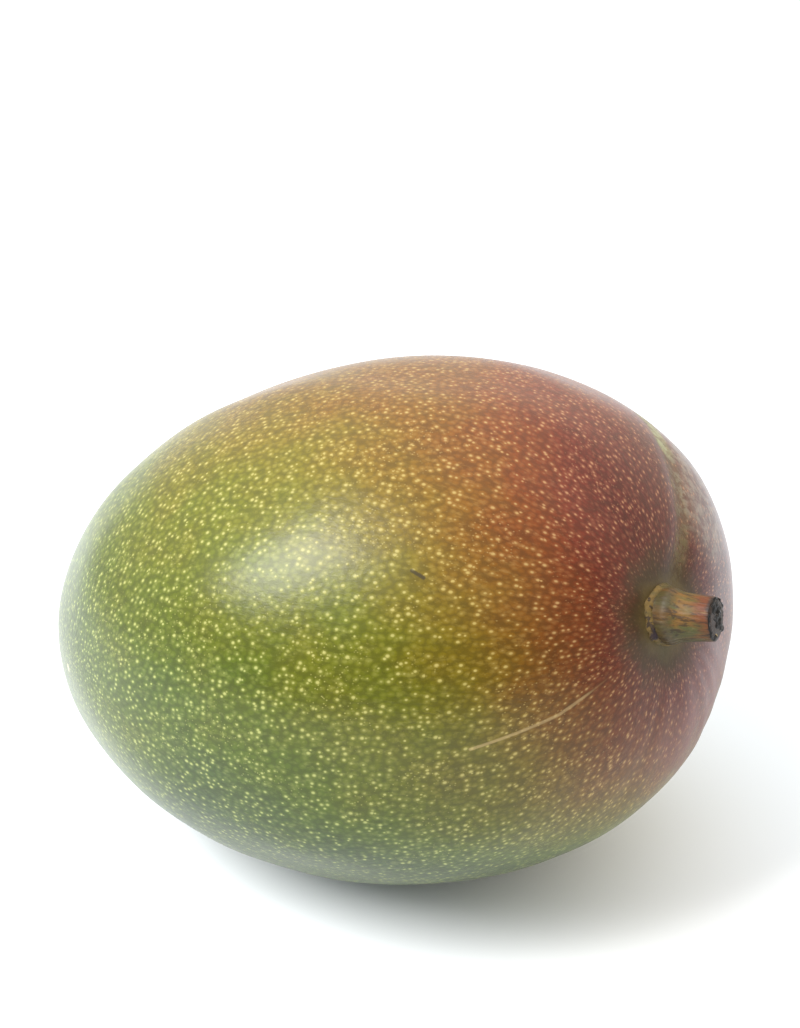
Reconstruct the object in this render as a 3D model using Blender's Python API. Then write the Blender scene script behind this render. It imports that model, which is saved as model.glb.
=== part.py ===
"""A mango as picked: the whole fruit lying on its side, with the stub of its stem.

The fruit grew as one piece, so it is one closed solid. Its shape is a formula: a girth that
swells and closes along the fruit's length, a slightly squared cross-section that is wider than
it is thick, and a centreline that bows to one side. The woody stem stub is the second piece.
It sits in a shallow socket off the fruit's axis, as a mango's stem does.

Metres, +Z up. The fruit's length lies along X with the stem end at +X and raised a little,
and the fruit rests on one small flat spot at Z = 0.
"""

import math

import bmesh
import bpy
import numpy as np
from mathutils import Matrix, Vector
from mathutils.bvhtree import BVHTree

MM = 0.001

# The fruit
LENGTH = 120 * MM
WIDTH = 98 * MM
THICKNESS = 88 * MM
APEX_FULLNESS = 0.52  # power of the distance from the apex: 0.5 is round, more is pointed
STEM_FULLNESS = 0.42  # power of the distance from the stem end: less than 0.5 is blunt
SQUARENESS = 2.02  # power of the cross-section: 2 is an ellipse
SIDE_BOW = -2.7 * MM  # how far the middle of the centreline is pushed sideways
APEX_SIDE = -6.1 * MM  # how far the apex leans sideways
APEX_DROP = -3.5 * MM  # how far the apex hangs below the middle
TILT = math.radians(7.5)  # the stem end is raised by this angle
REST_CUT = 1.1 * MM  # what the small flat spot takes off the round underside
AROUND = 72  # corners around the fruit
ALONG = 46  # rings along the fruit

# The stem stub and its socket
STEM_AIM = Vector((56.2, -17.7, 11.8))  # from the middle of the fruit towards the stem
PIT_DEPTH = 1.6 * MM
PIT_REACH = 10 * MM
COLLAR_RADIUS = 5.1 * MM
COLLAR_HEIGHT = 1.5 * MM
SOCKET_DEPTH = 0.7 * MM  # below the bottom of the pit
FIT_GAP = 0.3 * MM  # between the stem and the flesh that holds it
STEM_LENGTH = 6.9 * MM  # along its own line, from the bottom of the pit
STEM_WAY = Vector((0.989, -0.107, 0.090))  # the stalk leans back towards the long axis
NECK_RADIUS = 3.9 * MM
TIP_RADIUS = 3.3 * MM
TIP_ROUNDING = 0.5 * MM
STEM_STEPS = 32  # corners around the stem

PARTS = "mango"
CUTTERS = "mango_cutters"


def clear_scene():
    """Remove every object, so that the script can be run again."""
    for thing in list(bpy.data.objects):
        bpy.data.objects.remove(thing, do_unlink=True)
    for group in list(bpy.data.collections):
        bpy.data.collections.remove(group)


def new_collection(name):
    """Make a collection under the scene."""
    group = bpy.data.collections.new(name)
    bpy.context.scene.collection.children.link(group)
    return group


def make_material(name, colour, roughness):
    """Make a plain Principled material."""
    material = bpy.data.materials.new(name)
    material.use_nodes = True
    shader = material.node_tree.nodes["Principled BSDF"]
    shader.inputs["Base Color"].default_value = (*colour, 1.0)
    shader.inputs["Roughness"].default_value = roughness
    shader.inputs["Metallic"].default_value = 0.0
    return material


def make_object(name, bm, group, material=None):
    """Turn a bmesh into a smooth-shaded object in a collection."""
    mesh = bpy.data.meshes.new(name)
    bm.to_mesh(mesh)
    bm.free()
    mesh.shade_smooth()
    if material:
        mesh.materials.append(material)
    thing = bpy.data.objects.new(name, mesh)
    group.objects.link(thing)
    return thing


def fruit_surface(sphere):
    """Move points of a unit sphere, whose poles are on Z, onto the fruit's skin.

    The height on the sphere becomes the station along the fruit, from 0 at the apex to 1 at
    the stem end. The girth is station**APEX_FULLNESS * (1 - station)**STEM_FULLNESS, divided
    by its own greatest value.
    """
    station = np.clip((1 + sphere[:, 2]) / 2, 0, 1)
    angle = np.arctan2(sphere[:, 1], sphere[:, 0])
    fullest = APEX_FULLNESS / (APEX_FULLNESS + STEM_FULLNESS)
    greatest = fullest**APEX_FULLNESS * (1 - fullest)**STEM_FULLNESS
    girth = station**APEX_FULLNESS * (1 - station)**STEM_FULLNESS / greatest
    side = np.abs(np.cos(angle))**SQUARENESS
    top = np.abs(np.sin(angle))**SQUARENESS
    section = girth * (side + top)**(-1 / SQUARENESS)
    middle = 4 * station * (1 - station)
    apex = (1 - station)**2
    x = (station - 0.5) * LENGTH
    y = section * np.cos(angle) * WIDTH / 2 + SIDE_BOW * middle + APEX_SIDE * apex
    z = section * np.sin(angle) * THICKNESS / 2 + APEX_DROP * apex
    return np.stack([x, y, z], axis=1)


def sphere_mesh():
    """A unit sphere with its poles on Z, as a bmesh."""
    bm = bmesh.new()
    bmesh.ops.create_uvsphere(bm, u_segments=AROUND, v_segments=ALONG, radius=1.0)
    return bm


def place_vertices(bm, places):
    """Give each vertex its new place."""
    for vertex, place in zip(bm.verts, places):
        vertex.co = place


def stem_seat(bm):
    """Where the stem's line meets the round fruit, and the way the skin faces there."""
    tree = BVHTree.FromBMesh(bm)
    place, normal, _, _ = tree.ray_cast(Vector(), STEM_AIM.normalized())
    return place, normal


def press_pit(bm, place, normal):
    """Push the skin in around the stem, most at the stem and fading out with distance."""
    for vertex in bm.verts:
        near = (vertex.co - place).length / PIT_REACH
        vertex.co -= normal * PIT_DEPTH * math.exp(-near * near)


def cut_rest(bm):
    """Slice the small flat spot that the fruit rests on, and close it with one face."""
    lowest = min(vertex.co.z for vertex in bm.verts)
    everything = bm.verts[:] + bm.edges[:] + bm.faces[:]
    bmesh.ops.bisect_plane(
        bm,
        geom=everything,
        plane_co=(0, 0, lowest + REST_CUT),
        plane_no=(0, 0, -1),
        clear_outer=True,
    )
    rim = [edge for edge in bm.edges if edge.is_boundary]
    bmesh.ops.edgeloop_fill(bm, edges=rim)
    bmesh.ops.recalc_face_normals(bm, faces=bm.faces[:])


def cut_socket(fruit, seat, cutters):
    """Bore the stem's shallow socket into the fruit with a cylinder."""
    bm = bmesh.new()
    height = 10 * MM
    bmesh.ops.create_cone(
        bm,
        cap_ends=True,
        segments=STEM_STEPS,
        radius1=COLLAR_RADIUS + FIT_GAP,
        radius2=COLLAR_RADIUS + FIT_GAP,
        depth=height,
    )
    bmesh.ops.translate(bm, verts=bm.verts[:], vec=(0, 0, height / 2))
    cutter = make_object("socket_cutter", bm, cutters)
    cutter.matrix_world = seat
    cutter.display_type = "WIRE"
    cutter.hide_render = True
    bore = fruit.modifiers.new("socket", "BOOLEAN")
    bore.operation = "DIFFERENCE"
    bore.solver = "EXACT"
    bore.object = cutter
    return cutter


def make_fruit(group):
    """Build the fruit, and return it with the frame of the stem's seat."""
    bm = sphere_mesh()
    sphere = np.array([vertex.co[:] for vertex in bm.verts])
    place_vertices(bm, fruit_surface(sphere))
    bmesh.ops.recalc_face_normals(bm, faces=bm.faces[:])
    place, normal = stem_seat(bm)
    press_pit(bm, place, normal)
    floor = place - normal * (PIT_DEPTH + SOCKET_DEPTH)
    tilt = Matrix.Rotation(-TILT, 4, "Y")
    seat = tilt @ Matrix.Translation(floor) @ normal.to_track_quat("Z", "Y").to_matrix().to_4x4()
    bmesh.ops.transform(bm, matrix=tilt, verts=bm.verts[:])
    cut_rest(bm)
    skin = make_material("fruit_skin", (0.27, 0.25, 0.05), 0.32)
    return make_object("mango_fruit", bm, group, skin), seat


def make_stem(group, seat):
    """Build the stem stub from rings: a low corky collar, then a leaning shaft, cut square.

    The collar's rings lie flat on the seat. The shaft's rings follow the stalk's own line, which
    leaves the middle of the collar's top, and they are turned to stand square to it.
    """
    foot = FIT_GAP
    collar_top = foot + SOCKET_DEPTH + COLLAR_HEIGHT
    tip = STEM_LENGTH - COLLAR_HEIGHT
    profile = [
        (COLLAR_RADIUS, foot, 0),
        (COLLAR_RADIUS, foot + SOCKET_DEPTH + 0.4 * MM, 0),
        (COLLAR_RADIUS - 0.5 * MM, collar_top, 0),
        (NECK_RADIUS, collar_top, 1.0 * MM),
        (TIP_RADIUS, collar_top, tip - TIP_ROUNDING),
        (TIP_RADIUS - TIP_ROUNDING, collar_top, tip),
    ]
    tilted_way = Matrix.Rotation(-TILT, 3, "Y") @ STEM_WAY.normalized()
    way = seat.to_3x3().inverted() @ tilted_way
    lean = Vector((0, 0, 1)).rotation_difference(way).to_matrix()
    bm = bmesh.new()
    rings = []
    for radius, height, climb in profile:
        turn = lean if climb else Matrix.Identity(3)
        middle = Vector((0, 0, height)) + way * climb
        corners = [math.tau * step / STEM_STEPS for step in range(STEM_STEPS)]
        spokes = [Vector((math.cos(angle), math.sin(angle), 0)) * radius for angle in corners]
        rings.append([bm.verts.new(middle + turn @ spoke) for spoke in spokes])
    for lower, upper in zip(rings, rings[1:]):
        for step in range(STEM_STEPS):
            after = (step + 1) % STEM_STEPS
            bm.faces.new((lower[step], lower[after], upper[after], upper[step]))
    bm.faces.new(rings[0][::-1])
    bm.faces.new(rings[-1])
    bark = make_material("stem_bark", (0.33, 0.19, 0.07), 0.6)
    stem = make_object("stem_stub", bm, group, bark)
    stem.matrix_world = seat
    return stem


def world_corners(thing):
    """Every corner of an object's finished mesh, in world coordinates."""
    graph = bpy.context.evaluated_depsgraph_get()
    finished = thing.evaluated_get(graph)
    mesh = finished.to_mesh()
    corners = np.array([finished.matrix_world @ vertex.co for vertex in mesh.vertices])
    finished.to_mesh_clear()
    return corners


def stand_on_floor(pieces, followers, group):
    """Hang everything from an empty placed so that the pieces' box stands on the origin."""
    bpy.context.view_layer.update()
    corners = np.concatenate([world_corners(piece) for piece in pieces])
    low, high = corners.min(axis=0), corners.max(axis=0)
    middle = (low + high) / 2
    root = bpy.data.objects.new("mango_root", None)
    group.objects.link(root)
    for thing in pieces + followers:
        thing.parent = root
    root.location = (-middle[0], -middle[1], -low[2])
    bpy.context.view_layer.update()
    print("size in mm:", np.round((high - low) / MM, 2))


def main():
    """Build the mango."""
    clear_scene()
    group = new_collection(PARTS)
    cutters = new_collection(CUTTERS)
    fruit, seat = make_fruit(group)
    cutter = cut_socket(fruit, seat, cutters)
    stem = make_stem(group, seat)
    stand_on_floor([fruit, stem], [cutter], group)


main()
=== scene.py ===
# %% [markdown]
# # A mango, from its plain solid to its finished skin
#
# The frame holds two plain solids at their real size: the fruit and the stub of its stem. This
# lesson replaces both with fine surfaces, and gives each one the finish of the real thing. The
# frame comes first, because every place and size below is measured from it.

# %% The frame
import math

import bpy
import numpy as np
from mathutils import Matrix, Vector


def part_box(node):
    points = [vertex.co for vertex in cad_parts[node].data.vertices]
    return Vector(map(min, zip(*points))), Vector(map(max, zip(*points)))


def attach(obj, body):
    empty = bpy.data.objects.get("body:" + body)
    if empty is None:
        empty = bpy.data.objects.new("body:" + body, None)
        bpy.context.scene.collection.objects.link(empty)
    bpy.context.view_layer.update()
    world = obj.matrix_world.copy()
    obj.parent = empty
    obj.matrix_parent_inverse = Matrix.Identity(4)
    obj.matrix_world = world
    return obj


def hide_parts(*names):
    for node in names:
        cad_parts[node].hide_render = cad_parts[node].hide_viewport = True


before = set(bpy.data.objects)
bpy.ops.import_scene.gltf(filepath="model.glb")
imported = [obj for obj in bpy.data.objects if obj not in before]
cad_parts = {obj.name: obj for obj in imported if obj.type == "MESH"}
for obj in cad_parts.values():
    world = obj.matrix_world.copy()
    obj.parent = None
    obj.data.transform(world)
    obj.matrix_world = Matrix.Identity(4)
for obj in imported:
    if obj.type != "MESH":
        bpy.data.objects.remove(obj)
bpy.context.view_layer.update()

MM = 0.001
fruit_low, fruit_high = (np.array(corner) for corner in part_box("mango_fruit"))
print("fruit in the frame, mm:", np.round((fruit_high - fruit_low) / MM, 1))

# %% [markdown]
# ## The round of the fruit
#
# A mango swells quickly from its stem end and closes more slowly towards its apex. It is wider
# than it is thick, and the line through its middle bows to one side, so that stem and apex both
# lean the same way. One formula gives all of that, for any station along the fruit and any angle
# around it. A sculpted ball would look alike, but a formula can be measured and changed.

# %% The skin as a function of station and angle
LENGTH = 120 * MM
WIDTH = 98 * MM
THICKNESS = 88 * MM
APEX_FULLNESS = 0.52  # 0.5 closes in a round cap, more in a point
STEM_FULLNESS = 0.42  # less than 0.5 closes bluntly
SQUARENESS = 2.02
SIDE_BOW = -2.7 * MM
APEX_SIDE = -6.1 * MM
APEX_DROP = -3.5 * MM
TILT = math.radians(7.5)
REST_CUT = 1.1 * MM


def fruit_surface(station, angle):
    """Points of the skin, before the fruit is tilted.

    The girth is station**APEX_FULLNESS * (1 - station)**STEM_FULLNESS over its own greatest
    value. The section is a superellipse of that girth, and the centreline is a parabola.
    """
    fullest = APEX_FULLNESS / (APEX_FULLNESS + STEM_FULLNESS)
    greatest = fullest**APEX_FULLNESS * (1 - fullest) ** STEM_FULLNESS
    girth = station**APEX_FULLNESS * (1 - station) ** STEM_FULLNESS / greatest
    side = np.abs(np.cos(angle)) ** SQUARENESS
    top = np.abs(np.sin(angle)) ** SQUARENESS
    section = girth * (side + top) ** (-1 / SQUARENESS)
    middle = 4 * station * (1 - station)
    apex = (1 - station) ** 2
    x = (station - 0.5) * LENGTH
    y = section * np.cos(angle) * WIDTH / 2 + SIDE_BOW * middle + APEX_SIDE * apex
    z = section * np.sin(angle) * THICKNESS / 2 + APEX_DROP * apex
    return np.stack(np.broadcast_arrays(x, y, z), axis=-1)


def tilted(places):
    """Turn points about Y so that the stem end is raised."""
    cos, sin = math.cos(TILT), math.sin(TILT)
    turn = np.array([[cos, 0, -sin], [0, 1, 0], [sin, 0, cos]])
    return places @ turn.T


ROWS, COLUMNS = 290, 300
# Rows crowd towards both ends, as on a globe, so the end rows stay round.
stations = (1 - np.cos(np.linspace(0, math.pi, ROWS))) / 2
angles = np.linspace(0, 2 * math.pi, COLUMNS, endpoint=False)
smooth_skin = tilted(fruit_surface(stations[:, None], angles[None, :]))
low, high = smooth_skin.min(axis=(0, 1)), smooth_skin.max(axis=(0, 1))
shift = (fruit_low + fruit_high - low - high) / 2
shift[2] = -low[2] - REST_CUT
smooth_skin = smooth_skin + shift
print("formula against frame, mm:", np.round((high - low - fruit_high + fruit_low) / MM, 2))

# %% [markdown]
# ## Where the stem stands
#
# The stem leaves the fruit off its long axis, on the side that the fruit bows to. Everything at
# that end is placed from two things: the seat, which is the point of skin under the stem, and
# the stem's own line, which is the way the skin faces there.

# %% The seat and the stem's line
STEM_AIM = np.array([56.2, -17.7, 11.8])


def unit(vectors):
    """Vectors of length one."""
    return vectors / np.maximum(np.linalg.norm(vectors, axis=-1, keepdims=True), 1e-12)


def facing(grid):
    """The way each point of a closed grid faces: the cross product of its two directions."""
    along = np.gradient(grid, axis=0)
    around = (np.roll(grid, -1, axis=1) - np.roll(grid, 1, axis=1)) / 2
    return unit(np.cross(around, along))


aim = unit(tilted(STEM_AIM))
miss = np.linalg.norm(unit(smooth_skin - shift) - aim, axis=-1)
nearest = np.unravel_index(np.argmin(miss), miss.shape)
seat = smooth_skin[nearest]
stem_line = facing(smooth_skin)[nearest]
stem_line = stem_line * np.sign(stem_line @ aim)
# Two directions across the stem: one as level as can be, and one uphill.
stem_level = unit(np.cross([0, 0, 1], stem_line))
stem_uphill = np.cross(stem_line, stem_level)
# The stalk itself leans away from that line, back towards the fruit's long axis.
stem_axis = unit(tilted(np.array([0.989, -0.107, 0.090])))
print("stem seat, mm:", np.round(seat / MM, 1), "line:", np.round(stem_line, 2))

# %% [markdown]
# ## Hollows, shoulders and lumps
#
# A real mango is not quite a formula. It has a shallow pit around the stem, a faint furrow that
# runs from the stem over the shoulder, low lumps where flesh grew faster, and a small flat where
# it lies on the table. Each is a height added along the way the skin faces, so they can be tuned
# one at a time.

# %% Heights added to the skin
PIT_DEPTH = 1.6 * MM
PIT_REACH = 10 * MM
FURROW_DEPTH = 0.5 * MM
FURROW_HALF_WIDTH = 2.2 * MM
FURROW_LENGTH = 44 * MM
FURROW_TURN = math.radians(47)  # from straight uphill, towards the level direction
LUMP_HEIGHT = 0.16 * MM
LUMP_SIZE = 17 * MM
RIDGE_HEIGHT = 0.05 * MM


def bell(distance, reach):
    """One at no distance, fading to nothing: exp(-(distance / reach)**2)."""
    return np.exp(-((distance / reach) ** 2))


def rise(value, start, end):
    """Smooth step from 0 at start to 1 at end."""
    part = np.clip((value - start) / (end - start), 0, 1)
    return part * part * (3 - 2 * part)


def around_stem(places):
    """Distance from the seat, and the turn about the stem's line from uphill."""
    offset = places - seat
    distance = np.linalg.norm(offset, axis=-1)
    turn = np.arctan2(offset @ stem_level, offset @ stem_uphill)
    return distance, turn


def soft_lumps(places, size, seed):
    """Low lumps: the mean of sine waves that run in random directions, with a random start."""
    draw = np.random.default_rng(seed)
    total = np.zeros(places.shape[:-1])
    waves = 14
    for _ in range(waves):
        direction = unit(draw.normal(size=3))
        length = size * draw.uniform(0.7, 1.8)
        total += np.sin(places @ direction * (2 * math.pi / length) + draw.uniform(0, 2 * math.pi))
    return total / math.sqrt(waves)


def skin_height(places):
    """Height added at each point of the skin."""
    distance, turn = around_stem(places)
    height = -PIT_DEPTH * bell(distance, PIT_REACH)
    sideways = np.sin(turn - FURROW_TURN) * distance
    ahead = np.cos(turn - FURROW_TURN) * distance
    furrow = bell(sideways, FURROW_HALF_WIDTH) * rise(ahead, 2 * MM, 8 * MM)
    height -= FURROW_DEPTH * furrow * (1 - rise(ahead, 0.4 * FURROW_LENGTH, FURROW_LENGTH))
    height += LUMP_HEIGHT * soft_lumps(places, LUMP_SIZE, seed=3)
    below = rise(-np.cos(turn + 0.5), 0.2, 0.9)
    ridged = rise(distance, 8 * MM, 16 * MM) * (1 - rise(distance, 30 * MM, 46 * MM))
    height += RIDGE_HEIGHT * np.sin(turn * 23 + 2 * np.sin(turn * 5)) * below * ridged
    return height


def settle(places):
    """Flatten what would sink below the table, with a soft edge."""
    softness = 0.08 * MM
    settled = places.copy()
    settled[..., 2] = softness * np.logaddexp(0, places[..., 2] / softness)
    return settled


outward = facing(smooth_skin)
outward *= np.sign((outward * (smooth_skin - shift)).sum(axis=-1, keepdims=True))
outward[0] = unit(outward[1].mean(axis=0))
outward[-1] = unit(outward[-2].mean(axis=0))
skin_places = settle(smooth_skin + outward * skin_height(smooth_skin)[..., None])
print("skin runs from", np.round(skin_places.min(axis=(0, 1)) / MM, 2), "mm")

# %% [markdown]
# ## From arrays to a mesh
#
# A grid of points becomes a mesh with one face for each cell of the grid. The fruit closes on
# itself around, and at each end its last row shrinks to a single point, so there is no hole and
# no seam. The face list is worked out as arrays too.

# %% A closed mesh from a grid
def closed_mesh(name, grid):
    """Mesh of a grid that wraps around, whose first and last rows are single points."""
    rows, columns = grid.shape[:2]
    inner = grid[1:-1].reshape(-1, 3)
    places = np.concatenate([grid[:1, 0], inner, grid[-1:, 0]])
    row = np.arange(rows - 3)[:, None] * columns
    column = np.arange(columns)[None, :]
    following = (column + 1) % columns
    quads = np.stack(
        [row + column, row + following, row + columns + following, row + columns + column], -1
    )
    quads = quads.reshape(-1, 4) + 1
    ring, after = np.arange(columns), (np.arange(columns) + 1) % columns
    last = len(places) - 1
    first_fan = np.stack([np.zeros(columns, int), 1 + after, 1 + ring], -1)
    last_fan = np.stack([np.full(columns, last), last - columns + ring, last - columns + after], -1)
    mesh = bpy.data.meshes.new(name)
    mesh.from_pydata(places, [], first_fan.tolist() + quads.tolist() + last_fan.tolist())
    mesh.shade_smooth()
    piece = bpy.data.objects.new(name, mesh)
    bpy.context.collection.objects.link(piece)
    face_outwards(mesh)
    print(name, "has", len(mesh.vertices), "points and", len(mesh.polygons), "faces")
    return piece


def face_outwards(mesh):
    """Turn the faces round if the mesh holds less than nothing.

    The volume is the sum over faces of centre . normal * area / 3.
    """
    count = len(mesh.polygons)
    centres, normals, areas = np.empty(count * 3), np.empty(count * 3), np.empty(count)
    mesh.polygons.foreach_get("center", centres)
    mesh.polygons.foreach_get("normal", normals)
    mesh.polygons.foreach_get("area", areas)
    volume = ((centres * normals).reshape(-1, 3).sum(axis=1) * areas).sum() / 3
    if volume < 0:
        mesh.flip_normals()


def point_values(grid):
    """The values of a grid in the order that closed_mesh gives its points."""
    inner = grid[1:-1].reshape(-1, *grid.shape[2:])
    return np.concatenate([grid[:1, 0], inner, grid[-1:, 0]])


fruit = closed_mesh("mango_skin", skin_places)
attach(fruit, "root")
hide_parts("mango_fruit")

# %% [markdown]
# ## A place for every pore
#
# The pale dots are pores in the skin. They are nearly round on the cheeks, but near the stem the
# skin was stretched as it grew, so there they are small and drawn out towards the stem. Towards
# the apex they crowd together. Squeezing the space in which the dots are scattered does this:
# near a pole, distances are scaled by (reach / distance)**power. The squeezed places are kept
# on the mesh as an attribute, and the material scatters its dots in them.

# %% Squeezed places for the pores
STEM_REACH = 42 * MM
STEM_POWER = 0.5
APEX_REACH = 40 * MM
APEX_POWER = 0.28
SCAR_STATION = 0.137  # share of the length, from the apex
SCAR_TURN = 3.0  # about the fruit's length
apex_scar = fruit_surface(np.array(SCAR_STATION), np.array(SCAR_TURN))
apex_scar = tilted(apex_scar) + shift


def squeezed(places, pole, reach, power):
    """Scale distances from a pole by (1 + (reach / distance)**3)**(power / 3)."""
    offset = places - pole
    distance = np.maximum(np.linalg.norm(offset, axis=-1, keepdims=True), 0.3 * MM)
    return pole + offset * (1 + (reach / distance) ** 3) ** (power / 3)


pore_places = squeezed(smooth_skin, seat, STEM_REACH, STEM_POWER)
pore_places = squeezed(pore_places, apex_scar, APEX_REACH, APEX_POWER)
attribute = fruit.data.attributes.new("pore_place", "FLOAT_VECTOR", "POINT")
attribute.data.foreach_set("vector", point_values(pore_places).astype(np.float32).ravel())
print("apex scar, mm:", np.round(apex_scar / MM, 1))

# %% [markdown]
# ## The stem stub
#
# The stub is a short woody stalk, a little thinner at its cut end, with fibres that run along it
# as low ridges. It is a profile carried up the stem's line: at each height there is a radius,
# and the ridges change that radius around the turn.

# %% A surface of turns about the stem's line
STEM_LENGTH = 6.9 * MM
NECK_RADIUS = 3.8 * MM
TIP_RADIUS = 3.25 * MM
FOOT_DEPTH = 2.4 * MM
STEM_STEPS = 110
STEM_TURNS = 160


def about_stem(radius, height, turn, line=stem_axis):
    """Points at a radius, a height above the seat and a turn about a line through the seat."""
    level = unit(np.cross([0, 0, 1], line))
    uphill = np.cross(line, level)
    across = np.cos(turn)[..., None] * uphill + np.sin(turn)[..., None] * level
    return seat + radius[..., None] * across + height[..., None] * line


def stem_surface(step, turn):
    """The stub: step 0 is its buried foot, step 1 the middle of its cut end.

    The radius goes in a straight line from neck to tip, flares at the foot, and closes over a
    rounded edge at the top. Three sines of the turn make the ridges of its fibres.
    """
    climb = np.clip(step / 0.8, 0, 1)
    height = -FOOT_DEPTH + (STEM_LENGTH + FOOT_DEPTH) * climb
    radius = NECK_RADIUS + (TIP_RADIUS - NECK_RADIUS) * climb
    radius = radius + 0.5 * MM * bell(height - 0.2 * MM, 1.3 * MM)
    fibres = np.sin(9 * turn + 2 * climb) * np.sin(2 * turn + 1) + 0.6 * np.sin(31 * turn)
    radius = radius + 0.045 * MM * fibres + 0.16 * MM * np.sin(2 * turn + 0.7 + 1.5 * climb)
    close = np.clip((step - 0.8) / 0.2, 0, 1)
    edge = np.sqrt(np.clip(1 - close**2, 0, 1))
    radius = radius * np.where(step > 0.8, 1 - close, 1) * np.where(step <= 0.02, step / 0.02, 1)
    height = height - 0.25 * MM * rise(1 - close, 0.82, 1.0) * edge
    return about_stem(radius, height, turn)


steps = np.linspace(0, 1, STEM_STEPS)[:, None]
stem_turns = np.linspace(0, 2 * math.pi, STEM_TURNS, endpoint=False)[None, :]
stem = closed_mesh("stem_wood", stem_surface(*np.broadcast_arrays(steps, stem_turns)))

# %% [markdown]
# ## The crust and the cut
#
# Where the stub meets the skin there is a low crust of cork, higher on one side. When the stalk
# was cut, sap ran and dried black over the cut, in folds. The crust is a ring and the sap is a
# cap, and both are broken up by low lumps of two sizes, as the skin is.

# %% The corky collar and the dried sap
COLLAR_RADIUS = 4.85 * MM
SAP_RADIUS = 3.2 * MM


def collar_surface(step, turn):
    """A half-buried ring of crust: a flat lens section, broken up by low lumps of two sizes."""
    bend = step * math.pi
    thick = 0.95 * MM * (1 + 0.18 * np.cos(turn + 0.6) + 0.10 * np.sin(3 * turn + 0.4))
    middle = (COLLAR_RADIUS - 1.0 * MM) * rise(bend, 0, 0.25)
    radius = middle + thick * np.sin(bend) * np.cos(bend * 0.5) ** 0.5
    height = -1.45 * MM - 0.8 * thick * np.cos(bend) * rise(bend, 0, 2.4)
    plain = about_stem(radius * rise(math.pi - bend, 0, 0.3), height, turn, stem_line)
    warts = 0.22 * soft_lumps(plain, 2.6 * MM, seed=8) + 0.12 * soft_lumps(plain, 1.0 * MM, seed=9)
    outward = unit(plain - seat + 3 * MM * stem_line)
    return plain + outward * (warts * MM * np.sin(bend))[..., None]


def sap_surface(step, turn):
    """A thin lumpy cap over the cut end: a flat lens with a cracked and folded face."""
    bend = step * math.pi
    ragged = 1 + 0.03 * np.sin(5 * turn + 1) + 0.025 * np.sin(11 * turn)
    radius = SAP_RADIUS * np.sin(bend) ** 0.6 * ragged
    height = STEM_LENGTH - 0.2 * MM - 0.32 * MM * np.cos(bend)
    plain = about_stem(radius, height, turn)
    folds = 0.16 * soft_lumps(plain, 2.0 * MM, seed=5) + 0.08 * soft_lumps(plain, 0.8 * MM, seed=6)
    return plain + stem_axis * (folds * MM * rise(bend, 1.3, 1.9))[..., None]


collar = closed_mesh("stem_cork", collar_surface(*np.broadcast_arrays(steps, stem_turns)))
sap = closed_mesh("stem_sap", sap_surface(*np.broadcast_arrays(steps, stem_turns)))
for piece in (stem, collar, sap):
    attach(piece, "root")
    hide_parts("stem_stub")

# %% [markdown]
# ## Writing shaders as sums
#
# A material is a graph of nodes, and sums in a graph are hard to read. The small class below
# wraps a socket, so that `1 - mask * 0.5` adds the Math nodes it needs. The bench holds one
# material while it is made, and has one method that adds any other node.

# %% Sockets that can be added and multiplied
class Field:
    """A value that varies over a surface."""

    def __init__(self, bench, socket):
        self.bench, self.socket = bench, socket

    def math(self, operation, first, second):
        return self.bench.add("Math", {"operation": operation}, {0: first, 1: second})

    def __add__(self, other):
        return self.math("ADD", self, other)

    def __radd__(self, other):
        return self.math("ADD", other, self)

    def __sub__(self, other):
        return self.math("SUBTRACT", self, other)

    def __rsub__(self, other):
        return self.math("SUBTRACT", other, self)

    def __mul__(self, other):
        return self.math("MULTIPLY", self, other)

    def __rmul__(self, other):
        return self.math("MULTIPLY", other, self)

    def __truediv__(self, other):
        return self.math("DIVIDE", self, other)

    def __pow__(self, other):
        return self.math("POWER", self, other)


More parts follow.
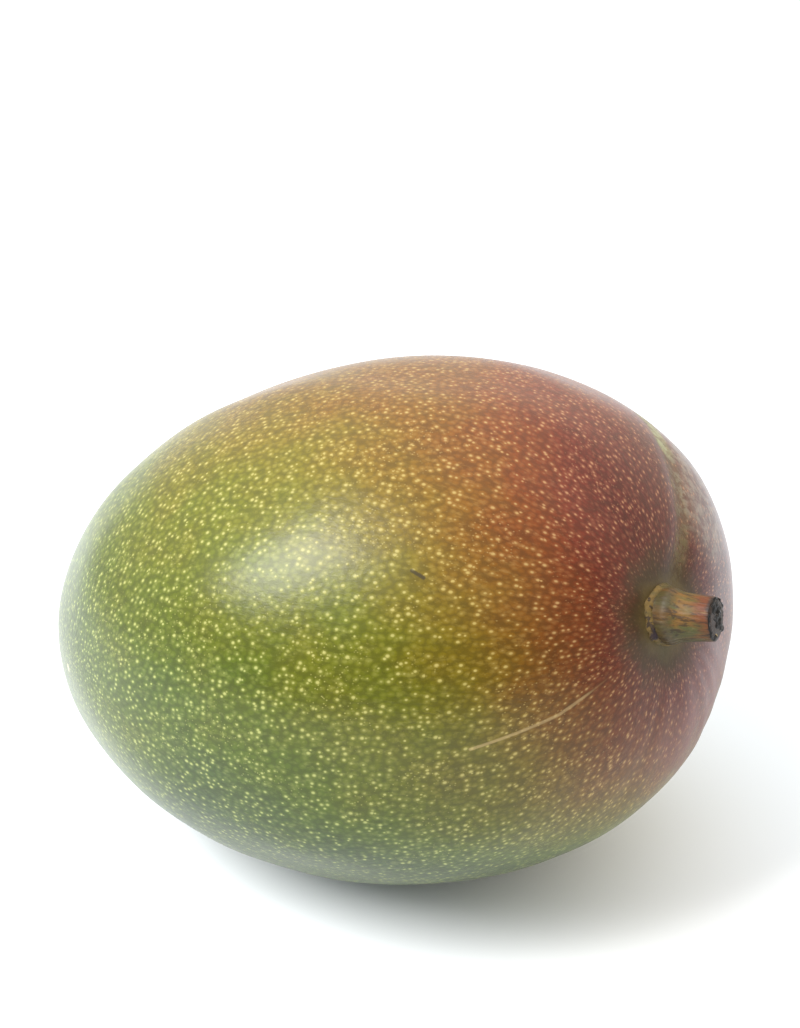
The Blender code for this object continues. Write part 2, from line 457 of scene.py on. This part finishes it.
class Bench:
    """One material, its nodes, and short ways to add them."""

    def __init__(self, name):
        self.material = bpy.data.materials.new(name)
        self.material.use_nodes = True
        self.tree = self.material.node_tree
        self.tree.nodes.clear()

    @classmethod
    def on_tree(cls, tree):
        """A bench for nodes that aren't a material's, such as the room's."""
        bench = cls.__new__(cls)
        bench.material, bench.tree = None, tree
        tree.nodes.clear()
        return bench

    def add(self, kind, settings=None, sockets=None, out=0):
        """Add a node: settings first, then the values or links of its sockets."""
        node = self.tree.nodes.new("ShaderNode" + kind)
        for key, value in (settings or {}).items():
            if key == "stops":
                set_stops(node.color_ramp, value)
            else:
                setattr(node, key, value)
        for key, value in (sockets or {}).items():
            if isinstance(value, Field):
                self.tree.links.new(value.socket, node.inputs[key])
            elif node.inputs[key].type == "RGBA" and len(value) == 3:
                node.inputs[key].default_value = (*value, 1.0)
            else:
                node.inputs[key].default_value = value
        return Field(self, node.outputs[out]) if node.outputs else None

    def mix(self, first, second, factor, blend="MIX"):
        """Colours mixed by a factor."""
        settings = {"data_type": "RGBA", "blend_type": blend}
        return self.add("Mix", settings, {0: factor, 6: first, 7: second}, out=2)

    def ramp(self, factor, stops):
        """A colour for each value from 0 to 1."""
        return self.add("ValToRGB", {"stops": stops}, {0: factor})

    def rise(self, value, start, end):
        """Smooth step from 0 at start to 1 at end."""
        settings = {"interpolation_type": "SMOOTHSTEP"}
        return self.add("MapRange", settings, {"Value": value, "From Min": start, "From Max": end})

    def vector(self, operation, first, second, out=0):
        """Vector arithmetic. Output 1 is the number that a distance or dot product gives."""
        return self.add("VectorMath", {"operation": operation}, {0: first, 1: second}, out)

    def noise(self, place, scale, detail=2.0, roughness=0.5, out=0):
        """Smooth noise about 0.5."""
        sockets = {"Vector": place, "Scale": scale, "Detail": detail, "Roughness": roughness}
        return self.add("TexNoise", {}, sockets, out)

    def near(self, place, point, reach):
        """One at a point, falling to 0 at a distance."""
        away = self.vector("DISTANCE", place, tuple(point), out=1)
        return 1 - self.rise(away, 0.0, reach)

    def finish(self, sockets):
        """Join a Principled shader with these sockets to the output."""
        shader = self.add("BsdfPrincipled", {}, sockets)
        self.add("OutputMaterial", {}, {"Surface": shader})
        return self.material


def set_stops(ramp, stops):
    """Give a colour ramp its stops: (position, colour)."""
    while len(ramp.elements) < len(stops):
        ramp.elements.new(0.5)
    for element, (position, colour) in zip(ramp.elements, stops):
        element.position = position
        element.color = (*colour, 1.0)


def tint(red, green, blue):
    """A colour as the share of red, green and blue light that a surface gives back."""
    return (red, green, blue)


# %% [markdown]
# ## The skin's colour
#
# The fruit ripened unevenly: green at the apex, olive and gold where it was half shaded, red and
# maroon on the shoulder that the sun reached. The colour follows one number, the blush, which
# grows towards the stem end and the top, and is unsettled by soft noise so that no band shows.

# %% The blush and the colour it gives
skin = Bench("mango_skin_finish")
place = skin.add("TexCoord", out=3)
pores_place = skin.add("Attribute", {"attribute_name": "pore_place"}, out=1)
middle = Vector((fruit_low + fruit_high) / 2)
half = (fruit_high - fruit_low) / 2
centred = skin.vector("SUBTRACT", place, tuple(middle))
scaled = skin.vector("DIVIDE", centred, tuple(half))
axes = skin.add("SeparateXYZ", {}, {0: scaled})
length_wise = axes
side_wise = Field(skin, axes.socket.node.outputs[1])
up_wise = Field(skin, axes.socket.node.outputs[2])
cloud = skin.noise(place, 26.0, 3.0, 0.55) - 0.5
wisps = skin.noise(pores_place, 80.0, 4.0, 0.62) - 0.5
sunny = up_wise * (0.70 + 0.37 * length_wise + 0.45 * side_wise)
stem_end = length_wise * length_wise * (0.49 + 0.66 * length_wise)
cool_side = 0.23 * length_wise + 0.20 * side_wise + 0.25 * length_wise * side_wise
blush = sunny + stem_end - cool_side - 0.10 + 0.34 * cloud + 0.22 * wisps
base = skin.ramp(
    blush,
    [
        (0.0, tint(0.042, 0.072, 0.010)),
        (0.12, tint(0.070, 0.102, 0.006)),
        (0.27, tint(0.105, 0.108, 0.004)),
        (0.43, tint(0.136, 0.094, 0.004)),
        (0.58, tint(0.150, 0.066, 0.004)),
        (0.73, tint(0.144, 0.034, 0.004)),
        (0.87, tint(0.112, 0.014, 0.004)),
        (1.0, tint(0.078, 0.008, 0.005)),
    ],
)
# Painted light: the colour is made up to 1.3 times lighter towards the top, and a little darker
# below, standing for more light from above.
painted_top_light = 0.92 + 0.38 * skin.rise(up_wise, 0.15, 0.95)
base = skin.vector("MULTIPLY", base, skin.add("CombineXYZ", {}, {0: painted_top_light, 1: painted_top_light, 2: painted_top_light}))
print("skin is", [round(2 * part / MM) for part in half], "mm along its three axes")

# %% [markdown]
# ## The pores
#
# Each pore is a small pale dot with a soft edge and a faint glow around it, and the skin is
# darkest midway between pores. Painting thousands of dots by hand would never end. A cell
# pattern gives every dot a place of its own, and a random number from its cell gives it its own
# size. A second, finer pattern adds flecks here and there.

# %% Pale dots
PORE_SPACING = 1.02 * MM
cells = {"Vector": pores_place, "Scale": 1 / PORE_SPACING, "Randomness": 0.85}
pore_distance = skin.add("TexVoronoi", {}, cells)
pore_draw = skin.add("SeparateXYZ", {}, {0: Field(skin, pore_distance.socket.node.outputs[1])})
pore_radius = 0.17 + 0.16 * pore_draw
pore = 1 - skin.rise(pore_distance / pore_radius, 0.35, 1.2)
glow_round = 1 - skin.rise(pore_distance / pore_radius, 0.8, 2.1)
between = skin.rise(pore_distance, 0.40, 0.80)
fleck_cells = {"Vector": pores_place, "Scale": 1 / (0.62 * MM), "Randomness": 1.0}
fleck_distance = skin.add("TexVoronoi", {}, fleck_cells)
fleck = (1 - skin.rise(fleck_distance, 0.10, 0.26)) * skin.rise(wisps, -0.05, 0.12)
pale = skin.ramp(
    blush,
    [
        (0.1, tint(0.36, 0.38, 0.12)),
        (0.5, tint(0.42, 0.31, 0.09)),
        (0.9, tint(0.40, 0.19, 0.09)),
    ],
)

# %% [markdown]
# ## Fibres under the skin
#
# Between the pores the colour is never even. Fine fibres show through as threads that run from
# the stem to the apex, and the blush breaks into small patches. Noise that is stretched along
# the fruit makes both.

# %% Threads and patches
drawn_out = skin.vector("MULTIPLY", pores_place, (0.4, 1.0, 1.0))
threads = skin.noise(drawn_out, 1300.0, 4.0, 0.7)
patches = skin.noise(pores_place, 520.0, 4.0, 0.68)
deep = skin.mix(base, tint(0.012, 0.010, 0.002), 0.42)
light = skin.mix(base, pale, 0.22)
colour = skin.mix(base, deep, skin.rise(patches, 0.46, 0.66) * 0.8)
colour = skin.mix(colour, light, skin.rise(threads, 0.48, 0.70) * 0.8)
colour = skin.mix(colour, light, glow_round * 0.6)
colour = skin.mix(colour, deep, between * 0.75)
colour = skin.mix(colour, pale, fleck * 0.5)
colour = skin.mix(colour, pale, pore * 0.82)

# %% [markdown]
# ## The marks of one fruit
#
# No two mangoes carry the same marks. This one has a brown halo of dried sap and cork around the
# stem, a pale scarred line up its furrow, a milky bloom low on the stem end, a few scratches
# from the tree, and the small scar that the flower left near the apex. Each mark is a mask made
# from a distance, so it can be moved or left out alone. The halo comes first. Its edge is made
# ragged by adding noise to the distance.

# %% Halo round the stem
stem_away = skin.vector("DISTANCE", place, tuple(seat), out=1)
ragged = (skin.noise(place, 300.0, 4.0, 0.65) - 0.5) * (7 * MM)
halo = 1 - skin.rise(stem_away + ragged, 6.5 * MM, 13.0 * MM)
colour = skin.mix(colour, tint(0.050, 0.032, 0.009), halo * 0.88)
inner_halo = 1 - skin.rise(stem_away + ragged * 0.6, 5.0 * MM, 7.6 * MM)
colour = skin.mix(colour, tint(0.120, 0.082, 0.026), inner_halo * 0.75)
green_patch = skin.near(place, seat + 5.2 * MM * unit(stem_level * -0.4 - stem_uphill), 3.2 * MM)
colour = skin.mix(colour, tint(0.058, 0.052, 0.014), green_patch * 0.8)
print("skin has", len(skin.tree.nodes), "nodes with its halo")

# %% [markdown]
# ## Places and lines on the skin
#
# The other marks lie at a place or along a line. A place is given as a person would say it: so
# far from the stem, and so far round. A line is a chain of short straight pieces, each with a
# mask that is one on the piece and fades to its sides, and the chain keeps the greatest of them.

# %% A point, a line and a chain
def skin_point(reach, turn=FURROW_TURN):
    """The point of the smooth skin at a reach and a turn from the stem."""
    away, around = around_stem(smooth_skin)
    miss = np.hypot(away - reach, np.sin((around - turn) / 2) * reach)
    return smooth_skin[np.unravel_index(np.argmin(miss), miss.shape)]


def line_mask(start, end, half_width):
    """One on the line between two points, fading at half_width from it.

    The nearest point of the line is start + t (end - start), with t the clamped projection.
    """
    span = Vector(end - start)
    offset = skin.vector("SUBTRACT", place, tuple(start))
    along = skin.vector("DOT_PRODUCT", offset, tuple(span / span.length_squared), out=1)
    along = skin.add("Clamp", {}, {0: along})
    step = skin.add("CombineXYZ", {}, {0: along, 1: along, 2: along})
    nearest_point = skin.vector("MULTIPLY", step, tuple(span))
    away = skin.vector("DISTANCE", offset, nearest_point, out=1)
    return 1 - skin.rise(away, 0.35 * half_width, half_width)


def chain_mask(places, half_width):
    """The greatest of the line masks between each place and the next."""
    total = 0.0
    for start, end in zip(places, places[1:]):
        part = line_mask(start, end, half_width)
        total = skin.add("Math", {"operation": "MAXIMUM"}, {0: total, 1: part})
    return total


# %% [markdown]
# ## The scarred furrow
#
# As the fruit swelled, the skin cracked along the furrow and healed as a rough olive line, paler
# at its far end, where the shoulder is scuffed and whitish. Drops of sap dried beside it. Noise
# tears the masks, so that the line isn't a painted stripe.

# %% Furrow, shoulder and sap drops
furrow_places = [skin_point(reach * MM) for reach in (6, 14, 22, 31, 40)]
streak = chain_mask(furrow_places, 2.4 * MM)
torn = skin.rise(skin.noise(place, 520.0, 4.0, 0.7), 0.42, 0.62)
colour = skin.mix(colour, tint(0.120, 0.085, 0.030), streak * (0.35 + 0.6 * torn))
streak_end = line_mask(furrow_places[-2], furrow_places[-1], 2.2 * MM)
colour = skin.mix(colour, tint(0.34, 0.36, 0.16), streak_end * (0.3 + 0.6 * torn))
shoulder = line_mask(skin_point(22 * MM, 1.15), skin_point(44 * MM, 0.95), 10 * MM)
colour = skin.mix(colour, tint(0.32, 0.27, 0.20), shoulder * (0.15 + 0.4 * torn))
sap_dots = ((12, 0.72, 0.6), (15.5, 0.62, 0.5), (17, 0.83, 0.45), (13, 0.30, 0.5), (37, 0.80, 0.6))
for reach, turn, size in sap_dots:
    drop = skin.near(place, skin_point(reach * MM, turn), size * MM)
    colour = skin.mix(colour, tint(0.020, 0.010, 0.006), skin.rise(drop, 0.1, 0.6) * 0.9)

# %% [markdown]
# ## Bloom
#
# Bloom is a thin milky wax. Handling rubs it off the cheeks, and it stays where no hand
# reached: below the stem, where it turns the red to a dull pink. It is a pale colour mixed in by a
# soft, streaky mask. Round the underside a pale grey-green is painted in as well: a painted
# reflection of the white floor.

# %% Bloom below the stem, and a painted floor reflection underneath
bloom_middle = skin_point(26 * MM, math.radians(158))
bloom = 1 - skin.rise(skin.vector("DISTANCE", place, tuple(bloom_middle), out=1), 4 * MM, 21 * MM)
bloom = bloom * skin.rise(skin.noise(drawn_out, 260.0, 4.0, 0.65), 0.2, 0.65)
colour = skin.mix(colour, tint(0.185, 0.060, 0.056), bloom * 0.68)
# Painted reflection: a pale grey-green on the underside that stands for the white floor seen in the
# skin.
painted_floor_reflection = skin.rise(0.0 - up_wise, 0.45, 1.0) * (0.5 + 0.5 * torn)
colour = skin.mix(colour, tint(0.14, 0.155, 0.085), painted_floor_reflection * 0.28)

# %% [markdown]
# ## Scratches and the flower's scar
#
# A twig drew one long pale scratch down the side, and something nicked the cheek. The flower
# left a small cream scar near the apex. They are the same lines and places as before, only
# finer.

# %% Scratch, nick and apex scar
SCRATCH = ((14, -105), (18, -105), (24, -105), (30, -103.5), (37, -101))  # mm out, degrees round
scratch_places = [skin_point(reach * MM, math.radians(turn)) for reach, turn in SCRATCH]
scratch = chain_mask(scratch_places, 0.34 * MM)
colour = skin.mix(colour, tint(0.42, 0.30, 0.13), scratch * (0.25 + 0.5 * threads))
nick_ends = [skin_point(41 * MM, math.radians(-57)), skin_point(39.5 * MM, math.radians(-59))]
nick = line_mask(*nick_ends, 0.4 * MM)
colour = skin.mix(colour, tint(0.030, 0.022, 0.010), nick * 0.8)

scar = skin.near(place, apex_scar, 1.3 * MM)
colour = skin.mix(colour, tint(0.42, 0.36, 0.20), skin.rise(scar, 0.2, 0.6))

# %% [markdown]
# ## Joining the skin together
#
# A mango's skin has a waxy shine, broken by a fine roughness like an orange's but much lower.
# So the same pores, threads and patches that colour it also raise it a little, and the halo, the
# scar and the bloom are duller than the rest.

# %% The finished skin
bumps = pore * 0.12 + threads * 0.35 + patches * 0.5 + streak * torn * 0.5
normal = skin.add("Bump", {}, {"Height": bumps, "Distance": 0.16 * MM, "Strength": 0.55})
roughness = 0.29 + 0.22 * halo + 0.12 * streak + 0.1 * bloom + 0.05 * pore
skin_finish = skin.finish(
    {"Base Color": colour, "Roughness": roughness, "IOR": 1.36, "Normal": normal}
)
fruit.data.materials.append(skin_finish)
print("skin finish has", len(skin.tree.nodes), "nodes")

# %% [markdown]
# ## Wood of the stub
#
# A fresh stalk is green and ochre, with brown fibres along it, and it turns orange and then
# black towards the cut, where sap ran over it. Noise squeezed along the stalk makes the fibres,
# and the height above the seat tells where each colour starts. The sap on it shines a little.

# %% Wood finish
def stem_places(bench):
    """Object places measured from the seat: across level, across uphill, and up the stem."""
    offset = bench.vector("SUBTRACT", bench.add("TexCoord", out=3), tuple(seat))
    parts = [
        bench.vector("DOT_PRODUCT", offset, tuple(axis), out=1)
        for axis in (stem_level, np.cross(stem_axis, stem_level), stem_axis)
    ]
    return parts, bench.add("CombineXYZ", {}, {0: parts[0], 1: parts[1], 2: parts[2] * 0.16})


wood = Bench("stem_wood_finish")
(level, uphill, climb), drawn = stem_places(wood)
grain = wood.noise(drawn, 1500.0, 4.0, 0.65)
stain = wood.noise(drawn, 420.0, 3.0, 0.6)
bark = wood.mix(tint(0.060, 0.060, 0.011), tint(0.150, 0.068, 0.008), wood.rise(stain, 0.40, 0.60))
low_side = wood.rise(0.0 - uphill, -1.0 * MM, 3.0 * MM)
bark = wood.mix(bark, tint(0.062, 0.052, 0.020), low_side * 0.75)
orange = wood.rise(climb + (stain - 0.5) * (6 * MM), 3.4 * MM, 6.0 * MM) * (1 - 0.6 * low_side)
bark = wood.mix(bark, tint(0.120, 0.026, 0.005), orange * 0.9)
bark = wood.mix(bark, tint(0.026, 0.015, 0.006), wood.rise(grain, 0.48, 0.62) * 0.8)
bark = wood.mix(bark, tint(0.24, 0.17, 0.06), (1 - wood.rise(grain, 0.30, 0.42)) * 0.4)
foot = 1 - wood.rise(climb + (grain - 0.5) * (2 * MM), 0.2 * MM, 1.8 * MM)
bark = wood.mix(bark, tint(0.060, 0.035, 0.016), foot * 0.6)
burnt = wood.rise(climb + (stain - 0.5) * (2 * MM), STEM_LENGTH - 0.9 * MM, STEM_LENGTH - 0.1 * MM)
bark = wood.mix(bark, tint(0.020, 0.012, 0.008), burnt * 0.9)
wood_normal = wood.add("Bump", {}, {"Height": grain, "Distance": 0.25 * MM, "Strength": 0.7})
wet = {"Base Color": bark, "Roughness": 0.36 + 0.3 * grain, "IOR": 1.36, "Normal": wood_normal}
stem.data.materials.append(wood.finish(wet))

# %% [markdown]
# ## Cork and sap
#
# The collar is cork: dry, pale and crumbly, with dark specks where sap soaked in, and three
# patches where sap ran down and dried to a purple brown. The specks are noise cut off at a
# height, and each patch is a mask round a place on the collar.

# %% Cork finish
cork = Bench("stem_cork_finish")
cork_place = cork.add("TexCoord", out=3)
crumbs = cork.noise(cork_place, 900.0, 4.0, 0.7)
blotches = cork.noise(cork_place, 330.0, 3.0, 0.6)
crust = cork.mix(tint(0.165, 0.100, 0.026), tint(0.090, 0.066, 0.020), cork.rise(blotches, 0.4, 0.62))
crust = cork.mix(crust, tint(0.030, 0.018, 0.013), cork.rise(crumbs, 0.52, 0.60) * 0.85)
for around, reach in ((-1.9, 1.5), (-0.6, 1.1), (2.6, 1.2)):
    across = math.cos(around) * stem_uphill + math.sin(around) * stem_level
    ran = cork.near(cork_place, seat + across * 4.6 * MM + stem_line * 0.2 * MM, reach * 1.6 * MM)
    crust = cork.mix(crust, tint(0.028, 0.016, 0.018), cork.rise(ran + crumbs * 0.4, 0.35, 0.75))
cork_bump = cork.add("Bump", {}, {"Height": crumbs, "Distance": 0.35 * MM, "Strength": 0.8})
dry = {"Base Color": crust, "Roughness": 0.75 - 0.2 * crumbs, "IOR": 1.36, "Normal": cork_bump}
collar.data.materials.append(cork.finish(dry))

# %% [markdown]
# ## Sap on the cut
#
# The cut end is sealed with sap that dried black. Most of it is dull, and the tops of its folds
# still shine. One fine crack shows the wood below: it is a line bent by noise.

# %% Sap finish
gum = Bench("stem_sap_finish")
(level, uphill, climb), drawn = stem_places(gum)
gum_place = gum.add("TexCoord", out=3)
folded = gum.noise(gum_place, 750.0, 3.0, 0.6)
off_line = level + 0.3 * uphill + (folded - 0.5) * (2.6 * MM)
crack = gum.add("Math", {"operation": "ABSOLUTE"}, {0: off_line})
crack = (1 - gum.rise(crack, 0.05 * MM, 0.22 * MM)) * gum.rise(folded, 0.40, 0.5)
sealed = gum.mix(tint(0.006, 0.005, 0.004), tint(0.022, 0.016, 0.012), gum.rise(folded, 0.55, 0.7))
sealed = gum.mix(sealed, tint(0.42, 0.30, 0.13), crack * 0.9)
gum_bump = gum.add("Bump", {}, {"Height": folded, "Distance": 0.5 * MM, "Strength": 0.8})
gloss = gum.rise(folded, 0.57, 0.66)
shine = {"Base Color": sealed, "Roughness": 0.66 - 0.48 * gloss, "IOR": 1.34, "Normal": gum_bump}
sap.data.materials.append(gum.finish(shine))
print("finishes:", [piece.data.materials[0].name for piece in (fruit, stem, collar, sap)])

# %% [markdown]
# ## The sheet it lies on
#
# The fruit lies on a plain sheet of white paper. It is matt, so it shows only the soft shade
# under the fruit, and it is far larger than the view, so no edge of it is ever seen. A backdrop
# that curves up would do as well, but a flat plane is simpler and the room beyond is as white.

# %% Floor
FLOOR_SIZE = 6.0
bpy.ops.mesh.primitive_plane_add(size=FLOOR_SIZE, location=(0, 0, 0))
floor = bpy.context.object
floor.name = "floor"
paper = Bench("floor_paper")
floor.data.materials.append(
    paper.finish({"Base Color": (0.94, 0.95, 0.96, 1.0), "Roughness": 0.9})
)

# %% [markdown]
# ## The white room
#
# All the soft light comes from the walls of a pale room. It is brightest overhead and warm on
# the far right, where the light has come by way of the wall, and cooler and darker behind the
# viewer, so that the near side of the fruit keeps its deep colour and is not veiled by shine.

# %% The room
WINDOW_WAY = Vector((-0.46, -0.52, 0.72)).normalized()
VIEW_TURN = math.radians(23.23)
VIEWER_WAY = Vector((math.sin(VIEW_TURN), -math.cos(VIEW_TURN), 0.35)).normalized()
FAR_RIGHT = (0.75, 0.66, 0.0)
room = bpy.data.worlds.new("white_room")
room.use_nodes = True
air = Bench.on_tree(room.node_tree)
way = air.add("TexCoord")
viewer_side = air.rise(air.vector("DOT_PRODUCT", way, tuple(VIEWER_WAY), out=1), -0.2, 0.7)
glow = air.rise(air.vector("DOT_PRODUCT", way, tuple(WINDOW_WAY), out=1), 0.4, 1.0)
far_right = air.rise(air.vector("DOT_PRODUCT", way, FAR_RIGHT, out=1), -0.3, 0.8)
overhead = air.rise(air.vector("DOT_PRODUCT", way, (0.0, 0.0, 1.0), out=1), 0.25, 1.0)
brightness = 1.1 - 0.95 * viewer_side + 0.3 * glow + 0.7 * overhead + 0.35 * far_right
tone = air.mix((0.84, 0.96, 1.10, 1.0), (1.10, 1.0, 0.86, 1.0), far_right)
# Looked at directly, every wall is plain white, so no side of the fruit has a dark backdrop.
seen = air.add("LightPath")
brightness = brightness * (1 - seen) + 1.05 * seen
sky = air.add("Background", {}, {"Color": tone, "Strength": brightness})
air.add("OutputWorld", {}, {"Surface": sky})
bpy.context.scene.world = room


# %% [markdown]
# ## The window
#
# The one clear highlight is a window, high and to the left, above the apex end. It is taller
# than it is wide, and the shine on the fruit has that slanted shape. A lamp of an even
# brightness and a real size does the same work, and its size sets how soft the shade is.

# %% The window
def look_along(thing, direction):
    """Turn a light or camera so that it looks along a direction."""
    thing.rotation_euler = Vector(direction).to_track_quat("-Z", "Y").to_euler()


def window_light(name, way, distance, size, radiance):
    """A rectangular light of an even brightness, aimed at the fruit from a way."""
    lamp = bpy.data.lights.new(name, "AREA")
    lamp.shape = "RECTANGLE"
    lamp.size, lamp.size_y = size
    lamp.energy = radiance * math.pi * size[0] * size[1]
    holder = bpy.data.objects.new(name, lamp)
    holder.location = middle + way * distance
    look_along(holder, -way)
    bpy.context.collection.objects.link(holder)
    return holder


WINDOW_DISTANCE = 0.6
WINDOW_SIZE = (0.27, 0.38)
WINDOW_RADIANCE = 17.0
window_light("window", WINDOW_WAY, WINDOW_DISTANCE, WINDOW_SIZE, WINDOW_RADIANCE)
print("window stands at", tuple(round(part, 2) for part in WINDOW_WAY * WINDOW_DISTANCE))

# %% [markdown]
# ## The camera
#
# The camera stands a hand's length from the fruit, a little round towards the stem and above it,
# so near that the fruit looks fuller than it is. Its place is given from the middle of the
# fruit: so far back, and a little right and up, because the fruit is not in mid-picture.

# %% Camera
VIEW_RISE = math.radians(27.7)
VIEW_DISTANCE = 251 * MM
EYE_RIGHT = 2.18 * MM
EYE_UP = 14.58 * MM
FOCAL_SHARE = 1.362  # focal length over the picture's longer side
back = np.array(
    [
        math.sin(VIEW_TURN) * math.cos(VIEW_RISE),
        -math.cos(VIEW_TURN) * math.cos(VIEW_RISE),
        math.sin(VIEW_RISE),
    ]
)
right = np.array([math.cos(VIEW_TURN), math.sin(VIEW_TURN), 0.0])
up = np.cross(back, right)
eye = shift + back * VIEW_DISTANCE + right * EYE_RIGHT + up * EYE_UP
lens = bpy.data.cameras.new("camera")
lens.sensor_width = 36.0
lens.lens = FOCAL_SHARE * lens.sensor_width
lens.clip_start = 0.01
camera = bpy.data.objects.new("camera", lens)
camera.location = eye
look_along(camera, -back)
bpy.context.collection.objects.link(camera)
bpy.context.scene.camera = camera
bpy.context.scene.view_settings.view_transform = "Standard"
